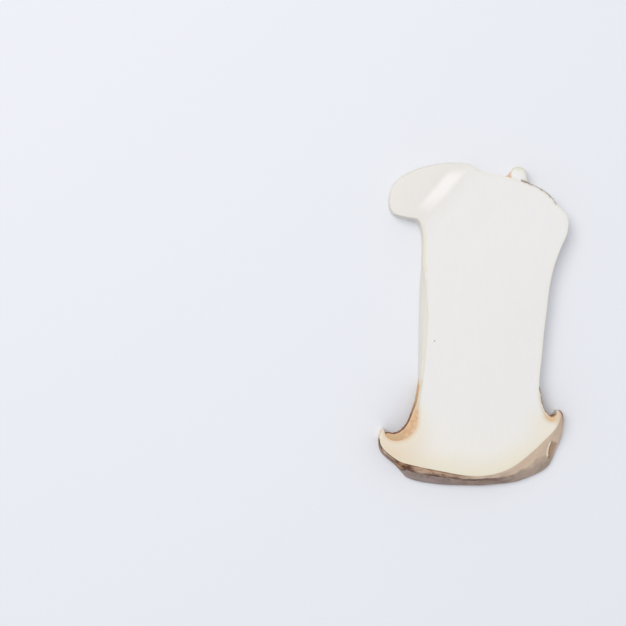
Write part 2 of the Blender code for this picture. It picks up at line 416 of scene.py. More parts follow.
def nick_place(points):
    """Distance along the nick from 0 to 1, the share of its width from its left edge, and that gap itself."""
    top, bottom = np.array(NICK_TOP), np.array(NICK_BOTTOM)
    axis = bottom - top
    along = (points[:, :2] - top) @ axis / (axis @ axis)
    side = np.array([-axis[1], axis[0]]) / np.linalg.norm(axis)
    left = (points[:, :2] - top) @ side
    kept = np.clip(along, 0.0, 1.0)
    left_bulge = NICK_LEFT_BULGE * np.sin(kept * math.pi) ** 0.7
    right_bulge = NICK_RIGHT_BULGE * smoothstep(0.0, 0.1, kept) * (1.0 - kept) ** 0.6
    gap = left + left_bulge
    return along, gap / (left_bulge + right_bulge + 1e-6), gap


def in_nick(points):
    """True for points whose place along and across lies in the nick."""
    along, share, _ = nick_place(points)
    return (along > 0.0) & (along < 1.0) & (share > 0.0) & (share < 1.0) & (points[:, 1] < NICK_MAX_Y)


def nick_depth(points):
    """How deep the nick is: a sharp step at its left edge that runs out to the right."""
    _, share, gap = nick_place(points)
    return NICK_DEPTH * in_nick(points) * smoothstep(0.0, 0.3, gap) * (1.0 - smoothstep(0.35, 1.0, share))


def make_rings():
    """Rings of points from the upper cut's rim down the skin to the lower cut's rim, with their facts."""
    position = ring_positions()
    edge, out = outline_at(position)[:, :2], outward_at(position)
    height = top_height(edge)
    upper = CUT_ROUNDING + (NOTCH_ROUNDING - CUT_ROUNDING) * in_gills(position)
    upper += (SOFT_EDGE_ROUNDING - CUT_ROUNDING) * within(position, *SOFT_EDGE_STRETCH, 0.3)
    upper = TIP_ROUNDING + (upper - TIP_ROUNDING) * clear_of_tips(position)
    lower = TIP_ROUNDING + (LOWER_ROUNDING - TIP_ROUNDING) * clear_of_tips(position)
    rings = []

    def add(inset, drop, skin, relief):
        level = drop / height
        lean = skin_lean(position, level) - inset
        points = np.column_stack([edge + out * lean[:, None], height - drop])
        if relief > 0.0:
            sunk = relief * (skin_relief(points, position) - nick_depth(points))
            points[:, :2] += out * sunk[:, None]
        rings.append({"points": points, "skin": np.full(len(position), skin), "level": level})

    for angle in ROUNDING_ANGLES:
        turn = math.radians(angle)
        drop = upper * (1.0 - math.cos(turn))
        add(upper * (1.0 - math.sin(turn)), drop, math.sin(turn) ** 2, math.sin(turn))
    for share in np.linspace(0.0, 1.0, WALL_RINGS):
        add(0.0, upper + (height - upper - lower) * share, 1.0, 1.0)
    for angle in reversed(ROUNDING_ANGLES):
        turn = math.radians(angle)
        drop = height - lower * (1.0 - math.cos(turn))
        add(lower * (1.0 - math.sin(turn)), drop, math.sin(turn) ** 2, math.sin(turn))
    return position, rings


def inside(points, loop):
    """True for each point that lies inside the closed loop."""
    following = np.roll(loop, -1, axis=0)
    rise = np.where(following[:, 1] == loop[:, 1], 1.0, following[:, 1] - loop[:, 1])
    slope = (following[:, 0] - loop[:, 0]) / rise
    found = []
    for x, y in points:
        crosses = (loop[:, 1] > y) != (following[:, 1] > y)
        found.append(np.count_nonzero(crosses & (x < loop[:, 0] + (y - loop[:, 1]) * slope)) % 2 == 1)
    return np.array(found)


def nearest(points, targets):
    """Distance from each point to the nearest of the targets."""
    found = [np.sqrt(((targets - point) ** 2).sum(axis=1).min()) for point in points]
    return np.array(found)


def grid_inside(loop, spacing, rng):
    """Points of a slightly shaken triangular grid that lie inside the loop, clear of its edge."""
    low, high = loop.min(axis=0), loop.max(axis=0)
    points = []
    for row, y in enumerate(np.arange(low[1], high[1], spacing * math.sqrt(0.75))):
        for x in np.arange(low[0] + spacing * 0.5 * (row % 2), high[0], spacing):
            points.append((x + rng.uniform(-0.1, 0.1) * spacing, y + rng.uniform(-0.1, 0.1) * spacing))
    points = np.array(points)
    points = points[inside(points, loop)]
    return points[nearest(points, loop) > spacing * 0.45]


def fill(loop, extra):
    """Triangles, as indices, that fill the loop and use the extra points inside it."""
    points = [Vector(p) for p in np.vstack([loop, extra])]
    filled = delaunay_2d_cdt(points, [], [list(range(len(loop)))], 1, 1e-7)
    return [[filled[3][corner][0] for corner in face] for face in filled[2]]


def fibre_place(points):
    """Coordinates that follow the flesh's fibres: they spread out into the cap and into the base."""
    x, y = points[:, 0] - AXIS_X, points[:, 1]
    cap = smoothstep(*CAP_SPREAD, y)
    base = smoothstep(*BASE_SPREAD, y)
    widened = 1.0 + (CAP_WIDENING * cap + BASE_WIDENING * base) / STEM_HALF_WIDTH
    return np.column_stack([x / widened, y - CAP_BEND * x * x * cap, np.zeros(len(points))])


def flesh_relief(points):
    """Fine unevenness of a cut face: faint fibres, soft swells and a pinprick."""
    spots = np.column_stack([points[:, :2], np.zeros(len(points))])
    fibres = FIBRE_HEIGHT * noise_at(fibre_place(spots), (0.9, 16.0, 1.0), 2.3)
    swells = FLESH_SWELL_HEIGHT * noise_at(spots, (7.0, 10.0, 1.0), 5.7)
    from_speck = ((points[:, :2] - np.array(SPECK)) ** 2).sum(axis=1)
    speck = SPECK_DEPTH * np.exp(-from_speck / SPECK_RADIUS**2)
    return fibres + swells - FLESH_SINK - speck


def set_values(mesh, name, values):
    """Stores one number a vertex, for the materials to read."""
    layer = mesh.attributes.new(name, "FLOAT", "POINT")
    layer.data.foreach_set("value", np.asarray(values, np.float32))


def set_places(mesh, name, values):
    """Stores one place a vertex, for the materials to read."""
    layer = mesh.attributes.new(name, "FLOAT_VECTOR", "POINT")
    layer.data.foreach_set("vector", np.asarray(values, np.float32).ravel())


def gill_tint(points):
    """How strongly the gills' colour shows: it fades out up the stem, sooner on the right."""
    on_left = points[:, 0] < AXIS_X
    start = np.where(on_left, LEFT_TINT_SPAN[0], RIGHT_TINT_SPAN[0])
    full = np.where(on_left, LEFT_TINT_SPAN[1], RIGHT_TINT_SPAN[1])
    return smoothstep(start, full, points[:, 1])


def make_slice():
    """The slice without its gills, as one closed mesh."""
    rng = random.Random(SEED)
    position, rings = make_rings()
    count = len(position)
    top_loop, bottom_loop = rings[0]["points"][:, :2], rings[-1]["points"][:, :2]
    top_inner = grid_inside(top_loop, TOP_GRID, rng)
    bottom_inner = grid_inside(bottom_loop, BOTTOM_GRID, rng)

    wall = np.vstack([ring["points"] for ring in rings])
    top = np.column_stack([top_inner, top_height(top_inner)])
    bottom = np.column_stack([bottom_inner, np.zeros(len(bottom_inner))])
    points = np.vstack([wall, top, bottom])
    upper_share = np.concatenate([
        np.repeat([math.cos(math.radians(a)) for a in ROUNDING_ANGLES], count),
        np.zeros(len(wall) - count * len(ROUNDING_ANGLES)),
        np.ones(len(top)),
        np.zeros(len(bottom)),
    ])
    lifted = upper_share > 0.0
    points[lifted, 2] += upper_share[lifted] * flesh_relief(points[lifted])

    faces = []
    for ring in range(len(rings) - 1):
        for i in range(count):
            j = (i + 1) % count
            a, b = ring * count, (ring + 1) * count
            faces.append((a + i, b + i, b + j, a + j))
    top_index = np.concatenate([np.arange(count), np.arange(len(top)) + len(wall)])
    faces += [tuple(top_index[c] for c in face) for face in fill(top_loop, top_inner)]
    last = (len(rings) - 1) * count
    bottom_index = np.concatenate([np.arange(count) + last, np.arange(len(bottom)) + len(wall) + len(top)])
    faces += [tuple(bottom_index[c] for c in reversed(face)) for face in fill(bottom_loop, bottom_inner)]

    mesh = bpy.data.meshes.new("slice_body")
    mesh.from_pydata([tuple(p) for p in in_metres(points)], [], faces)
    mesh.validate()
    mesh.shade_smooth()
    store_slice_facts(mesh, points, position, rings)
    body = bpy.data.objects.new("slice_body", mesh)
    bpy.context.scene.collection.objects.link(body)
    return body


def store_slice_facts(mesh, points, position, rings):
    """Stores what the slice's material needs to know at each vertex."""
    around = np.tile(position, len(rings))
    inner = points[len(around):, :2]
    nothing = np.zeros(len(inner))
    level = np.concatenate([ring["level"] for ring in rings] + [nothing])
    outline = outline_at(np.linspace(0.0, len(OUTLINE), 900, endpoint=False))[:, :2]
    gills = (LEFT_GILL_STRETCH, RIGHT_GILL_STRETCH)
    gilled = np.vstack([outline_at(np.linspace(*stretch, 90))[:, :2] for stretch in gills])

    set_values(mesh, "skin", np.concatenate([ring["skin"] for ring in rings] + [nothing]))
    set_values(mesh, "level", level)
    set_values(mesh, "rim", np.concatenate([np.zeros(len(around)), nearest(inner, outline)]))
    set_values(mesh, "notch", nearest(points[:, :2], gilled))
    set_values(mesh, "cap", np.concatenate([within(around, *CAP_STRETCH, 0.25), nothing]))
    set_values(mesh, "gill_wall", np.concatenate([in_gills(around), nothing]))
    set_values(mesh, "tint", gill_tint(points))
    set_values(mesh, "around", np.concatenate([around, nothing]))
    set_places(mesh, "fibre", fibre_place(points))
    store_nick_facts(mesh, points)
    store_base_facts(mesh, points, level)


def store_nick_facts(mesh, points):
    """Stores the nick, the pale lip at its left and the painted shade on the step beside that."""
    along, share, gap = nick_place(points)
    nicked = in_nick(points)
    ends = smoothstep(0.0, 0.12, along) * (1.0 - smoothstep(0.62, 1.0, share))
    set_values(mesh, "nick", nicked * smoothstep(0.05, 0.25, gap) * ends)
    lip = np.exp(-(((gap + 0.16) / 0.36) ** 2)) * within(along, 0.04, 0.82, 0.05)
    set_values(mesh, "lip", lip * (points[:, 1] < NICK_MAX_Y))
    shaded = np.exp(-(((gap - 0.42) / 0.3) ** 2)) * within(along, 0.03, 0.95, 0.03)
    # Painted shade on the nick's step.
    set_values(mesh, "nick_step_shade", 0.8 * shaded * nicked)


def store_base_facts(mesh, points, level):
    """Stores the brown thread at the base's edge, and the scrap that sticks out there."""
    line = outline_at(np.linspace(*THREAD_STRETCH, 200))[:, :2]
    thread = np.exp(-((nearest(points[:, :2], line) / THREAD_WIDTH) ** 2))
    thread *= 1.0 - smoothstep(*THREAD_END_LEVELS, level)
    set_values(mesh, "thread", thread * (points[:, 2] > 0.5 * THICKNESS))
    across = (points[:, 0] - NUB_X) / NUB_HALF_WIDTH
    at_nub = (points[:, 1] > NUB_MIN_Y) & (points[:, 2] > THICKNESS * (1.0 - 1.6 * NUB_TOP[1]))
    set_values(mesh, "nub", np.exp(-(across**4)) * at_nub)
    set_values(mesh, "nub_left", within(across, -1.35, -0.75, 0.15) * at_nub)


def gill_sections(free_edge, ending, rise, phase, depth_share):
    """Closed cross-sections of one blade from the cap's margin to the stem, with the share of its depth.

    Without a rise, the blade lies in the upper cut.
    """
    share = np.linspace(0.0, 1.0, GILL_STATIONS)
    rows = curve_at(free_edge, 1.0 + (len(free_edge) - 3.0) * share * ending)
    position = rows[:, 2]
    edge, out = outline_at(position)[:, :2], outward_at(position)
    root = edge - out * GILL_ROOT
    radius = np.abs(rows[:, 0] - AXIS_X)
    guess = 0.0 if rise is None else np.clip(1.0 - (AXIS_HEIGHT + radius * rise) / top_height(edge), 0.0, 1.0)
    flutter = 0.09 * np.sin(share * 31.0 + phase * 3.0) + 0.06 * np.sin(share * 67.0 + phase * 5.0)
    shrink = depth_share * (1.0 - 0.85 * smoothstep(0.72, 1.0, share) * (depth_share < 1.0))
    reach = rows[:, :2] + out * (skin_lean(position, guess) + flutter - 0.09)[:, None]
    free = edge + (reach - edge) * np.reshape(shrink, (-1, 1))
    across = np.linspace(0.0, 1.0, GILL_ACROSS)
    sections = []
    for i in range(GILL_STATIONS):
        flat = root[i] + (free[i] - root[i]) * across[:, None]
        wander = GILL_WANDER * math.sin(share[i] * 9.0 + phase) * across
        half = (GILL_THICKNESS[0] + (GILL_THICKNESS[1] - GILL_THICKNESS[0]) * across**0.8) / 2.0
        half[-1] *= 0.55
        if rise is None:
            middle = top_height(flat) + flesh_relief(flat) - GILL_TOP_GAP - half
        else:
            middle = AXIS_HEIGHT + np.abs(flat[:, 0] - AXIS_X) * rise + wander
        upper = np.column_stack([flat, middle + half])
        lower = np.column_stack([flat, middle - half])
        sections.append(np.vstack([upper, lower[::-1]]))
    return sections, np.concatenate([across, across[::-1]])


def clip_blade(bm, height, slope):
    """Cuts one blade flush with the two cuts of the slice and closes it again."""
    upper = (Vector((0.0, 0.0, height)), Vector((-slope[0], -slope[1], 1.0)))
    lower = (Vector((0.0, 0.0, GILL_BOTTOM_GAP)), Vector((0.0, 0.0, -1.0)))
    for place, normal in (upper, lower):
        everything = bm.verts[:] + bm.edges[:] + bm.faces[:]
        bmesh.ops.bisect_plane(
            bm, geom=everything, dist=1e-5, plane_co=place, plane_no=normal, clear_outer=True
        )
        rims = [e for e in bm.edges if e.is_boundary]
        if rims:
            bmesh.ops.holes_fill(bm, edges=rims, sides=0)
    bmesh.ops.dissolve_degenerate(bm, edges=bm.edges[:], dist=1e-4)


def make_blade(sections, shares, tone, cut):
    """One gill as a closed bmesh that stores each vertex's share of its depth, clipped if a cut is given."""
    bm = bmesh.new()
    free = bm.verts.layers.float.new("free")
    blade = bm.verts.layers.float.new("blade")
    loops = []
    for section in sections:
        loop = [bm.verts.new(point) for point in section]
        for vert, share in zip(loop, shares):
            vert[free] = share
            vert[blade] = tone
        loops.append(loop)
    for near, far in zip(loops, loops[1:]):
        for i in range(len(near)):
            j = (i + 1) % len(near)
            bm.faces.new((near[i], near[j], far[j], far[i]))
    bm.faces.new(loops[0])
    bm.faces.new(reversed(loops[-1]))
    if cut:
        clip_blade(bm, *cut)
    bmesh.ops.triangulate(bm, faces=[f for f in bm.faces if len(f.verts) > 4])
    bmesh.ops.recalc_face_normals(bm, faces=bm.faces[:])
    return bm


def cut_plane(free_edge):
    """Height over the origin and slope of the plane that the upper cut follows along the gills."""
    spots = free_edge[1:-1, :2]
    basis = np.column_stack([np.ones(len(spots)), spots])
    height, slope_x, slope_y = np.linalg.lstsq(basis, top_height(spots), rcond=None)[0]
    return height - CLIP_GAP, (slope_x, slope_y)


def make_gills(name, free_edge, rng):
    """The gills of one notch as one mesh of closed blades: one lies in the cut, and every other is short."""
    joined = bmesh.new()
    stem_half_width = np.abs(free_edge[:, 0] - AXIS_X).min()
    pitch = GILL_PITCH / stem_half_width
    lowest = -AXIS_HEIGHT / stem_half_width
    blades = [make_blade(*gill_sections(free_edge, 1.0, None, 0.0, 1.0), 0.0, None)]
    for number in range(2 * math.ceil(THICKNESS / GILL_PITCH)):
        short = number % 2 == 1
        rise = lowest + 0.5 * pitch * (number + rng.uniform(-GILL_JITTER, GILL_JITTER))
        ending = rng.uniform(*SHORT_GILL_ENDINGS) if short else rng.uniform(*LONG_GILL_ENDINGS)
        depth_share = rng.uniform(*SHORT_GILL_DEPTHS) if short else 1.0
        phase = rng.uniform(0.0, 2.0 * math.pi)
        sections, shares = gill_sections(free_edge, ending, rise, phase, depth_share)
        blades.append(make_blade(sections, shares, rng.random(), cut_plane(free_edge)))
    for blade in blades:
        piece = bpy.data.meshes.new("blade")
        blade.to_mesh(piece)
        blade.free()
        joined.from_mesh(piece)
        bpy.data.meshes.remove(piece)
    mesh = bpy.data.meshes.new(name)
    joined.to_mesh(mesh)
    joined.free()
    places = np.array([v.co for v in mesh.vertices])
    set_values(mesh, "tint", gill_tint(places))
    set_values(mesh, "depth", (THICKNESS - places[:, 2]) / THICKNESS)
    set_values(mesh, "side", places[:, 0])
    # Painted shade: marks the right gills' free edges up the stem, which are drawn dark.
    set_values(mesh, "edge_shade", (places[:, 0] > AXIS_X) * smoothstep(-38.6, -36.4, places[:, 1]))
    mesh.vertices.foreach_set("co", in_metres(places).astype(np.float32).ravel())
    mesh.shade_smooth()
    mesh.set_sharp_from_angle(angle=math.radians(GILL_CREASE_ANGLE))
    made = bpy.data.objects.new(name, mesh)
    bpy.context.scene.collection.objects.link(made)
    return made


class Nodes:
    """Short calls that build a material's node tree."""

    def __init__(self, name):
        self.material = bpy.data.materials.new(name)
        self.material.use_nodes = True
        self.tree = self.material.node_tree
        self.shader = self.tree.nodes["Principled BSDF"]

    def put(self, socket, value):
        """Links value to the socket, or sets it where value is a plain number or colour."""
        if isinstance(value, bpy.types.NodeSocket):
            self.tree.links.new(value, socket)
        else:
            socket.default_value = value

    def stored(self, name):
        """The node that reads what the mesh stores at each vertex."""
        node = self.tree.nodes.new("ShaderNodeAttribute")
        node.attribute_name = name
        return node

    def value(self, name):
        """A number that the mesh stores at each vertex."""
        return self.stored(name).outputs["Fac"]

    def place(self, name):
        """A place that the mesh stores at each vertex."""
        return self.stored(name).outputs["Vector"]

    def position(self):
        """The place on the object, in metres."""
        return self.tree.nodes.new("ShaderNodeTexCoord").outputs["Object"]

    def across_and_along(self):
        """Millimetres across the stem, and along it from the cap to the base."""
        node = self.tree.nodes.new("ShaderNodeSeparateXYZ")
        self.put(node.inputs["Vector"], self.stretched(self.position(), (1.0 / MM, 1.0 / MM, 1.0 / MM)))
        return node.outputs["X"], node.outputs["Y"]

    def distance_to(self, spot):
        """Metres from the place on the object to the spot."""
        node = self.tree.nodes.new("ShaderNodeVectorMath")
        node.operation = "DISTANCE"
        self.put(node.inputs[0], self.position())
        self.put(node.inputs[1], spot)
        return node.outputs["Value"]

    def stretched(self, place, scales):
        """A place with each coordinate multiplied."""
        node = self.tree.nodes.new("ShaderNodeVectorMath")
        node.operation = "MULTIPLY"
        self.put(node.inputs[0], place)
        self.put(node.inputs[1], scales)
        return node.outputs["Vector"]

    def noise(self, place, detail, roughness=0.5):
        """Smooth noise from 0 to 1."""
        node = self.tree.nodes.new("ShaderNodeTexNoise")
        self.put(node.inputs["Vector"], place)
        node.inputs["Scale"].default_value = 1.0
        node.inputs["Detail"].default_value = detail
        node.inputs["Roughness"].default_value = roughness
        return node.outputs["Fac"]

    def grain(self, level_scale, upright_scale, detail=2.0, roughness=0.5):
        """Smooth noise from 0 to 1 on the object, which gets finer as its scales grow."""
        scales = (level_scale, level_scale, upright_scale)
        return self.noise(self.stretched(self.position(), scales), detail, roughness)

    def math(self, operation, *values):
        """Arithmetic on numbers."""
        node = self.tree.nodes.new("ShaderNodeMath")
        node.operation = operation
        for socket, value in zip(node.inputs, values):
            self.put(socket, value)
        return node.outputs["Value"]

    def times(self, first, second):
        """Two numbers multiplied."""
        return self.math("MULTIPLY", first, second)

    def plus(self, first, second):
        """Two numbers added."""
        return self.math("ADD", first, second)

    def minus(self, first, second):
        """The second number taken from the first."""
        return self.math("SUBTRACT", first, second)

    def shaken(self, value, noise, reach):
        """A number moved up and down by noise."""
        return self.plus(value, self.times(self.minus(noise, 0.5), reach))

    def span(self, value, low, high, to_low=0.0, to_high=1.0):
        """A number taken smoothly from one range to another, and held at its ends."""
        node = self.tree.nodes.new("ShaderNodeMapRange")
        node.interpolation_type = "SMOOTHSTEP"
        for socket, amount in zip(node.inputs, (value, low, high, to_low, to_high)):
            self.put(socket, amount)
        return node.outputs["Result"]

    def area(self, place, spans):
        """1 where both coordinates of the place have reached the end of their spans."""
        return self.times(self.span(place[0], *spans[0]), self.span(place[1], *spans[1]))

    def stripe(self, value, middle, half_width):
        """1 where value is the middle, and down to 0 half_width away from it."""
        away = self.math("ABSOLUTE", self.minus(value, middle))
        return self.span(away, half_width, half_width * 0.3)

    def mix(self, share, first, second, kind="RGBA"):
        """A colour between two, or a number between two where the kind is FLOAT."""
        node = self.tree.nodes.new("ShaderNodeMix")
        node.data_type = kind
        self.put(node.inputs["Factor"], share)
        self.put(node.inputs["A"], first)
        self.put(node.inputs["B"], second)
        return node.outputs["Result"]

    def bump(self, height, distance):
        """Fine relief from a height of 0 to 1, with its depth in metres."""
        node = self.tree.nodes.new("ShaderNodeBump")
        node.inputs["Strength"].default_value = BUMP_STRENGTH
        node.inputs["Distance"].default_value = distance
        self.put(node.inputs["Height"], height)
        self.put(self.shader.inputs["Normal"], node.outputs["Normal"])

    def soften(self, weight, radius, scale):
        """Light that sinks in and comes out again nearby."""
        self.shader.inputs["Subsurface Weight"].default_value = weight
        self.shader.inputs["Subsurface Radius"].default_value = radius
        self.shader.inputs["Subsurface Scale"].default_value = scale


def colour(red, green, blue):
    """Linear colour from the 0 to 255 numbers that a screen shows."""

    def linear(level):
        share = level / 255.0
        return share / 12.92 if share <= 0.04045 else ((share + 0.055) / 1.055) ** 2.4

    return (linear(red), linear(green), linear(blue), 1.0)


IVORY = colour(236, 233, 231)
WARM_IVORY = colour(240, 235, 227)
CAP_CREAM = colour(235, 227, 209)
PEACH = colour(229, 208, 181)
# Painted shade on the corner beyond the ridge.
BEYOND_RIDGE_SHADE = colour(226, 221, 215)
# Painted highlight along the crest of the base's ridge.
CREST_HIGHLIGHT = colour(252, 248, 246)
RIM_CREAM = colour(226, 221, 198)
# Painted shade along the rim of the stem's left edge.
RIM_PAINTED_SHADE = colour(222, 217, 208)
TIP_FLESH = colour(222, 194, 166)
GILL_PEACH = colour(227, 186, 145)
GILL_STRAW = colour(222, 197, 160)
# Olive of the gills: the darker tone of some blades, and painted shade on the notch walls, towards the cap's
# margin and below the cut.
GILL_OLIVE_AND_SHADE = colour(204, 170, 130)
GILL_RED = colour(202, 156, 116)
GILL_STEM = colour(222, 210, 190)
# Painted shade on the gills below the upper cut.
GILL_DEPTH_SHADE = colour(136, 94, 62)
GILL_EDGE = colour(240, 204, 164)
STEM_SKIN = colour(226, 222, 213)
STEM_STREAK = colour(212, 204, 188)
NUB_OLIVE = colour(214, 212, 184)
NUB_AMBER = colour(212, 172, 142)
THREAD_BROWN = colour(116, 88, 62)
CAP_TAUPE = colour(218, 194, 170)
CAP_MIDDLE = colour(200, 174, 154)
CAP_STONE = colour(188, 168, 152)
CAP_BROWN = colour(162, 140, 126)
CAP_UMBER = colour(128, 104, 92)
# Dark line along the cap's crease: partly the skin's fold, partly painted shade.
CAP_CREASE_SHADE = colour(88, 66, 52)
CAP_OLIVE = colour(180, 163, 143)
CAP_ROSE = colour(170, 140, 130)
CAP_MOSS = colour(138, 124, 104)
CAP_DARK = colour(92, 56, 36)
CAP_BLACK = colour(86, 42, 22)
CAP_RUST = colour(138, 94, 58)
CAP_AMBER = colour(174, 134, 98)
CAP_TAWNY = colour(160, 127, 104)
CAP_FAWN = colour(198, 167, 142)
CAP_PALE = colour(214, 190, 162)
CAP_MAUVE = colour(160, 144, 139)
CAP_SLATE = colour(144, 127, 120)
TIP_TAN = colour(214, 182, 156)
NICK_BROWN = colour(176, 142, 116)
# Painted shade in the nick's step.
NICK_SHADE = colour(122, 98, 72)
LIP_CREAM = colour(255, 240, 210)
SPECK_BROWN = colour(120, 100, 84)
STRAND_GREY = colour(206, 198, 184)
FLOOR_WHITE = colour(232, 233, 238)

BUMP_STRENGTH = 0.5

# Where the flesh changes colour: spans across and along the slice, from a colour's start to full strength.
LEFT_WING_AREA = ((-12.0, -38.0), (-36.0, -50.0))
RIGHT_WING_AREA = ((18.0, 29.0), (-31.0, -41.0))
RIGHT_TIP_AREA = ((31.2, 34.2), (-42.5, -38.5))
RIGHT_TIP_END = (-26.0, -32.0)
STEM_LEFT_AREA = ((-12.0, -18.0), (-36.0, -28.0))
STEM_SHADE_END = (20.0, 17.0)
STEM_CREAM_START = (19.0, 24.0)
STEM_CREAM_END = (46.0, 40.0)
LEFT_SIDE = (0.0, -10.0)
RIGHT_SIDE = (0.0, 10.0)
CREST_BEYOND = 45.5
CREST_HALF_WIDTH = 3.8
CREST_START = (43.0, 53.0)

# Where the cap's skin changes colour: spans of the position counted in rows of OUTLINE.
LEFT_OF_MIDDLE = (6.9, 6.1)
LEFT_BLOTCHES = (5.3, 4.9)
LEFT_WING = (3.9, 3.5)
WING_END = (1.6, 1.1)
DARK_TO_PALE = (7.9, 9.6)
OLIVE_START = (9.9, 10.4)
RIGHT_TIP = (12.1, 13.4)
RIGHT_TIP_EDGE = (12.5, 13.1)


def rim_colour(n, tone, place):
    """The rim of the cut: faintly cream, with painted shade at the stem's left edge and creamier by the base.
    """
    rim, edge = n.value("rim"), n.area(place, STEM_LEFT_AREA)
    shade = n.times(edge, n.span(place[1], *STEM_SHADE_END))
    # Painted shade where the stem's left edge rounds into the skin.
    tone = n.mix(n.times(n.span(rim, 0.8, 0.1), shade), tone, RIM_PAINTED_SHADE)
    by_base = n.times(n.span(place[1], *STEM_CREAM_START), n.span(place[1], *STEM_CREAM_END))
    cream = n.span(n.times(edge, by_base), 0.0, 1.0, 0.3, 0.9)
    return n.mix(n.times(n.span(rim, 1.9, 0.3), cream), tone, RIM_CREAM)


def notch_colour(n, tone, place, clouds):
    """The flesh by the gills: cream at first, then peach on the left and straw on the right."""
    notch, tint = n.value("notch"), n.value("tint")
    cream = n.times(n.span(notch, 5.5, 1.0, 0.0, 0.55), n.span(place[0], *LEFT_SIDE))
    tone = n.mix(n.times(cream, tint), tone, CAP_CREAM)
    by_gills = n.span(n.plus(notch, n.times(clouds, 0.9)), 2.7, -0.7, 0.0, 0.95)
    gill_tone = n.mix(n.span(place[0], *RIGHT_SIDE), GILL_PEACH, GILL_STRAW)
    return n.mix(n.times(by_gills, tint), tone, gill_tone)


def ridge_colour(n, tone, place):
    """The corner of the base: painted shade beyond the ridge, with a painted highlight along its crest."""
    beyond = n.plus(n.times(place[1], RIDGE_OUTWARD[1]), n.times(place[0], RIDGE_OUTWARD[0]))
    # Painted shade: the corner beyond the ridge is greyed.
    tone = n.mix(n.span(beyond, 34.0, 50.0, 0.0, 0.9), tone, BEYOND_RIDGE_SHADE)
    # Painted highlight: a pale stripe along the ridge's crest that fades near the rim.
    crest = n.times(n.stripe(beyond, CREST_BEYOND, CREST_HALF_WIDTH), n.span(place[1], *CREST_START))
    crest = n.times(crest, n.span(n.value("rim"), 1.5, 6.0))
    return n.mix(n.times(crest, 0.6), tone, CREST_HIGHLIGHT)


def flesh_colour(n, strands):
    """The cut faces: ivory in the stem, creamier in the cap and at the rim, and peach by the gills."""
    place = n.across_and_along()
    clouds = n.grain(60.0, 60.0, 3.0)
    in_cap = n.span(n.plus(place[1], n.times(clouds, 10.0)), -24.0, -58.0)
    tone = n.mix(in_cap, IVORY, WARM_IVORY)
    tone = n.mix(n.times(in_cap, n.span(n.value("rim"), 12.0, 1.0)), tone, CAP_CREAM)
    tone = n.mix(n.times(n.area(place, LEFT_WING_AREA), 0.85), tone, PEACH)
    tone = rim_colour(n, tone, place)
    tone = n.mix(n.times(n.area(place, RIGHT_WING_AREA), 0.6), tone, CAP_CREAM)
    tip = n.times(n.area(place, RIGHT_TIP_AREA), n.span(place[1], *RIGHT_TIP_END, 0.0, 0.9))
    tone = n.mix(tip, tone, TIP_FLESH)
    tone = notch_colour(n, tone, place, clouds)
    tone = ridge_colour(n, tone, place)
    tone = n.mix(n.plus(n.times(strands, 0.05), n.times(clouds, 0.03)), tone, STRAND_GREY)
    spot = ((SPECK[0] + SHIFT[0]) * MM, (SPECK[1] + SHIFT[1]) * MM, THICKNESS * MM)
    tone = n.mix(n.span(n.distance_to(spot), 0.5 * MM, 0.25 * MM, 0.0, 0.75), tone, SPECK_BROWN)
    breaks = n.span(n.grain(300.0, 300.0), 0.38, 0.5, 0.3, 0.95)
    return n.mix(n.times(n.value("thread"), breaks), tone, THREAD_BROWN)


def cap_right(n, worn, below):
    """The cap's skin from the middle to its right side: taupe over a darker band that pales to the right."""
    around = n.value("around")
    dark = n.mix(n.span(worn, 0.4, 0.6), CAP_BROWN, CAP_UMBER)
    pale = n.mix(n.span(worn, 0.4, 0.6, 0.15, 0.45), CAP_STONE, CAP_BROWN)
    lower = n.mix(n.span(around, *DARK_TO_PALE), dark, pale)
    lower = n.mix(n.span(around, *OLIVE_START), lower, CAP_OLIVE)
    patchy = n.span(around, 8.0, 9.6, 1.0, 0.4)
    upper = n.mix(n.times(n.span(worn, 0.4, 0.62), patchy), CAP_TAUPE, CAP_MIDDLE)
    upper = n.mix(n.span(around, 7.2, 6.3, 0.0, 0.8), upper, CAP_TAWNY)
    soft = n.span(around, 9.0, 10.5, 0.05, 0.16)
    return n.mix(n.span(below, n.times(soft, -1.0), soft), upper, lower)


def cap_left(n, worn, below):
    """The cap's skin left of the middle: patchy fawn over mauve, and brown blotches further left."""
    around = n.value("around")
    strip = n.mix(n.span(worn, 0.42, 0.58), CAP_FAWN, CAP_TAWNY)
    blotched = n.mix(n.span(worn, 0.46, 0.54), CAP_AMBER, CAP_DARK)
    strip = n.mix(n.span(around, *LEFT_BLOTCHES), strip, blotched)
    lower = n.mix(n.span(worn, 0.4, 0.6), CAP_MAUVE, CAP_SLATE)
    tone = n.mix(n.span(below, -0.1, 0.12), strip, lower)
    spots = n.times(n.span(n.grain(700.0, 900.0), 0.52, 0.62), n.stripe(below, 0.02, 0.24))
    tone = n.mix(n.times(spots, 0.7), tone, CAP_UMBER)
    # Dark line along the crease on the left: partly the skin's fold, partly painted shade.
    crease_shade = n.times(n.stripe(below, 0.0, 0.1), n.span(around, 5.5, 5.1))
    return n.mix(n.times(crease_shade, 0.85), tone, CAP_DARK)


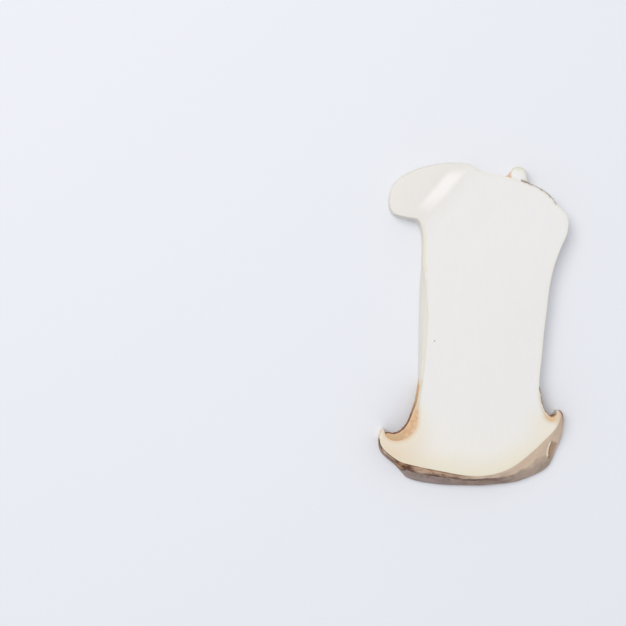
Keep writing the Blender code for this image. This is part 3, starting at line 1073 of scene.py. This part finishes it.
def cap_wing(n, worn, blotches):
    """The skin along the left wing: dark threads over a pale strip, and nearly black at its end."""
    around, level = n.value("around"), n.value("level")
    fibrils = n.grain(120.0, 950.0, 3.0, 0.6)
    wavy = n.shaken(level, blotches, 0.4)
    threads = n.times(n.stripe(wavy, 0.35, 0.1), n.span(worn, 0.38, 0.48, 0.3, 1.0))
    threads = n.math("MAXIMUM", threads, n.span(wavy, 0.14, 0.07, 0.0, 0.9))
    threads = n.times(threads, n.span(around, 2.2, 2.5))
    pale = n.mix(n.span(fibrils, 0.42, 0.58, 0.05, 0.85), CAP_PALE, CAP_TAWNY)
    brown = n.mix(n.span(worn, 0.44, 0.56), CAP_TAWNY, CAP_UMBER)
    ground = n.mix(n.span(wavy, 0.3, 0.62, 0.0, 0.9), pale, brown)
    tone = n.mix(threads, ground, CAP_DARK)
    wedge = n.minus(n.shaken(level, fibrils, 0.6), n.span(around, 1.5, 3.0, 0.74, 0.12))
    black = n.times(n.span(wedge, 0.16, -0.02), n.span(around, 3.1, 2.6))
    return n.mix(n.times(black, n.span(around, 1.2, 1.6)), tone, CAP_BLACK)


def cap_colour(n, streaks, blotches):
    """Skin of the cap, from its right tip round to its left wing."""
    around, level = n.value("around"), n.value("level")
    worn = n.plus(n.times(streaks, 0.5), n.times(blotches, 0.5))
    border = n.plus(n.span(around, 7.5, 8.4, 0.26, 0.33), n.span(around, 10.0, 11.4, 0.0, 0.55))
    border = n.plus(border, n.span(around, 5.0, 4.0, 0.0, 0.42))
    below = n.minus(n.shaken(level, blotches, 0.3), border)
    tone = n.mix(n.span(around, *LEFT_OF_MIDDLE), cap_right(n, worn, below), cap_left(n, worn, below))
    tone = n.mix(n.span(around, *LEFT_WING), tone, cap_wing(n, worn, blotches))
    tone = cap_marks(n, tone, streaks, blotches, below)
    tone = n.mix(n.span(around, *RIGHT_TIP), tone, TIP_TAN)
    outer = n.minus(level, n.span(around, 12.6, 14.2, 0.55, 0.16))
    tone = n.mix(n.times(n.span(outer, 0.0, 0.08), n.span(around, *RIGHT_TIP_EDGE)), tone, CAP_RUST)
    tone = n.mix(n.times(n.value("nick"), 0.9), tone, NICK_BROWN)
    # Painted shade along the nick's step.
    tone = n.mix(n.value("nick_step_shade"), tone, NICK_SHADE)
    tone = n.mix(n.span(n.value("lip"), 0.1, 0.6), tone, LIP_CREAM)
    return n.mix(n.span(n.shaken(around, streaks, 0.8), *WING_END), tone, PEACH)


def cap_marks(n, tone, streaks, blotches, below):
    """Rosy and mossy patches low on the cap, a rusty line under its rim, and a dark line along its crease,
    partly the skin's fold and partly painted shade.
    """
    around, level = n.value("around"), n.value("level")
    patches = n.grain(170.0, 420.0)
    lower = n.times(n.span(below, 0.02, 0.2), n.span(around, 4.2, 5.0))
    tone = n.mix(n.times(lower, n.span(patches, 0.5, 0.62, 0.0, 0.4)), tone, CAP_ROSE)
    tone = n.mix(n.times(lower, n.span(patches, 0.48, 0.38, 0.0, 0.4)), tone, CAP_MOSS)
    line = n.times(n.span(level, 0.07, 0.03), n.span(around, 7.2, 6.2, 0.0, 0.9))
    tone = n.mix(n.times(line, n.span(blotches, 0.4, 0.52, 0.2, 1.0)), tone, CAP_RUST)
    # Dark line in the crease: partly the skin's fold, partly painted shade.
    crease = n.times(n.stripe(below, -0.01, 0.07), n.span(around, 7.7, 8.6, 0.85, 0.1))
    crease = n.times(crease, n.span(around, 5.2, 5.8))
    return n.mix(n.times(crease, n.span(streaks, 0.36, 0.5, 0.6, 1.0)), tone, CAP_CREASE_SHADE)


def skin_colour(n, streaks):
    """The uncut outside: pale streaked skin on the stem and base, coloured skin on the cap."""
    blotches = n.grain(240.0, 420.0, 4.0, 0.6)
    stem = n.mix(n.span(streaks, 0.5, 0.75, 0.0, 0.7), STEM_SKIN, STEM_STREAK)
    nub = n.mix(n.span(n.value("level"), 0.15, 0.25), IVORY, NUB_OLIVE)
    stem = n.mix(n.value("nub"), stem, nub)
    stem = n.mix(n.times(n.value("nub_left"), 0.75), stem, NUB_AMBER)
    breaks = n.span(blotches, 0.36, 0.5, 0.3, 1.0)
    stem = n.mix(n.times(n.value("thread"), breaks), stem, THREAD_BROWN)
    tone = n.mix(n.value("cap"), stem, cap_colour(n, streaks, blotches))
    # The notch walls take the gills' olive: gill colour darkened as painted shade.
    return n.mix(n.times(n.value("gill_wall"), n.value("tint")), tone, GILL_OLIVE_AND_SHADE)


def slice_material():
    """One finish for the whole slice, told apart by what the mesh stores."""
    n = Nodes("slice_surface")
    strands = n.noise(n.stretched(n.place("fibre"), (1.1, 0.07, 1.0)), 4.0, 0.6)
    streaks = n.grain(160.0, 1500.0, 4.0, 0.6)
    pores = n.noise(n.stretched(n.position(), (2600.0, 1400.0, 2600.0)), 2.0)
    skin_share = n.span(n.value("skin"), 0.15, 0.85)
    tone = n.mix(skin_share, flesh_colour(n, strands), skin_colour(n, streaks))
    n.put(n.shader.inputs["Base Color"], tone)
    gloss = n.plus(0.36, n.times(pores, 0.16))
    n.put(n.shader.inputs["Roughness"], n.plus(gloss, n.times(skin_share, 0.14)))
    n.shader.inputs["Specular IOR Level"].default_value = 0.3
    flesh_grain = n.plus(n.times(strands, 0.6), n.times(pores, 0.4))
    skin_grain = n.plus(n.times(streaks, 0.7), n.times(pores, 0.3))
    n.bump(n.mix(skin_share, flesh_grain, skin_grain, "FLOAT"), 0.12 * MM)
    n.soften(0.25, (1.0, 0.88, 0.72), 1.3 * MM)
    return n.material


def gill_material():
    """Peach gills with crisp free edges, painted shade below the cut and along the right free edges up the
    stem, that fade into the stem's own colour.
    """
    n = Nodes("gill_surface")
    free, depth, edge_shade, side = n.value("free"), n.value("depth"), n.value("edge_shade"), n.value("side")
    streaks = n.grain(900.0, 300.0, 3.0, 0.6)
    root = n.mix(0.85, CAP_CREAM, GILL_PEACH)
    tone = n.mix(n.span(free, 0.15, 0.7), root, GILL_PEACH)
    tone = n.mix(n.times(n.value("blade"), 0.3), tone, GILL_OLIVE_AND_SHADE)
    # Painted shade deepening towards the cap's margin in the left notch, with real streaks on top.
    margin_shade = n.span(side, -25.8, -29.4, 0.0, 0.82)
    tone = n.mix(n.plus(n.times(streaks, 0.14), margin_shade), tone, GILL_OLIVE_AND_SHADE)
    patches = n.span(n.grain(520.0, 260.0), 0.46, 0.6, 0.0, 0.5)
    tone = n.mix(n.times(patches, n.span(side, *LEFT_SIDE)), tone, GILL_RED)
    # Free edges are pale, except where painted shade darkens them on the right up the stem.
    tone = n.mix(n.span(free, 0.88, 1.0, 0.0, 0.8), tone, n.mix(edge_shade, GILL_EDGE, GILL_DEPTH_SHADE))
    # Painted shade: the gills darken below the upper cut.
    tone = n.mix(n.span(depth, 0.06, 0.2, 0.0, 0.9), tone, GILL_DEPTH_SHADE)
    # Painted shade: where the gills meet the stem they darken below the cut.
    stem = n.mix(n.span(depth, 0.06, 0.2), GILL_STEM, GILL_OLIVE_AND_SHADE)
    # Painted shade along the right free edges where the gills meet the stem.
    stem = n.mix(n.times(edge_shade, n.span(free, 0.86, 1.0)), stem, GILL_DEPTH_SHADE)
    n.put(n.shader.inputs["Base Color"], n.mix(n.value("tint"), stem, tone))
    n.put(n.shader.inputs["Roughness"], n.plus(0.42, n.times(streaks, 0.2)))
    n.bump(streaks, 0.08 * MM)
    n.soften(0.12, (1.0, 0.7, 0.45), 0.6 * MM)
    return n.material


def floor_material():
    """A plain pale tabletop."""
    n = Nodes("floor_surface")
    n.shader.inputs["Base Color"].default_value = FLOOR_WHITE
    n.shader.inputs["Roughness"].default_value = 0.7
    return n.material


def dress(piece, material):
    """Gives a piece its finish and its place in the frame."""
    piece.data.materials.clear()
    piece.data.materials.append(material)
    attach(piece, "root")
    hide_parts(SOLID)


def make_floor():
    """The pale surface that the slice lies on."""
    bm = bmesh.new()
    bmesh.ops.create_grid(bm, x_segments=1, y_segments=1, size=FLOOR_HALF_SIZE)
    mesh = bpy.data.meshes.new("floor")
    bm.to_mesh(mesh)
    bm.free()
    floor = bpy.data.objects.new("floor", mesh)
    floor.location.z = -FLOOR_DROP
    bpy.context.scene.collection.objects.link(floor)
    floor.data.materials.append(floor_material())


def add_light(name, place, target, size, power, tint):
    """A square soft light that faces the target."""
    data = bpy.data.lights.new(name, "AREA")
    data.shape = "SQUARE"
    data.size = size
    data.energy = power
    data.color = tint
    lamp = bpy.data.objects.new(name, data)
    lamp.location = place
    lamp.rotation_euler = (Vector(target) - Vector(place)).to_track_quat("-Z", "Y").to_euler()
    bpy.context.scene.collection.objects.link(lamp)


def light_scene():
    """Soft studio light from above and a little to the upper left of the picture."""
    world = bpy.data.worlds.new("studio")
    world.use_nodes = True
    background = world.node_tree.nodes["Background"]
    background.inputs["Color"].default_value = SKY_COLOUR
    background.inputs["Strength"].default_value = SKY_STRENGTH
    bpy.context.scene.world = world
    for light in LIGHTS:
        add_light(*light)
    bpy.context.scene.view_settings.view_transform = "Standard"


def add_camera():
    """Looks straight down from where the photograph was taken, so the slice lies right of the middle."""
    data = bpy.data.cameras.new("camera")
    data.lens = LENS_MM
    data.clip_start = 0.01
    camera = bpy.data.objects.new("camera", data)
    x, y = np.array(CAMERA_OVER) + SHIFT
    camera.location = (x * MM, y * MM, (THICKNESS + CAMERA_DISTANCE) * MM)
    bpy.context.scene.collection.objects.link(camera)
    bpy.context.scene.camera = camera


def main():
    """Builds the pieces, the light and the camera."""
    dress(make_slice(), slice_material())
    rng = random.Random(SEED)
    gills = gill_material()
    dress(make_gills("gills_left", LEFT_GILLS, rng), gills)
    dress(make_gills("gills_right", RIGHT_GILLS, rng), gills)
    make_floor()
    light_scene()
    add_camera()


main()
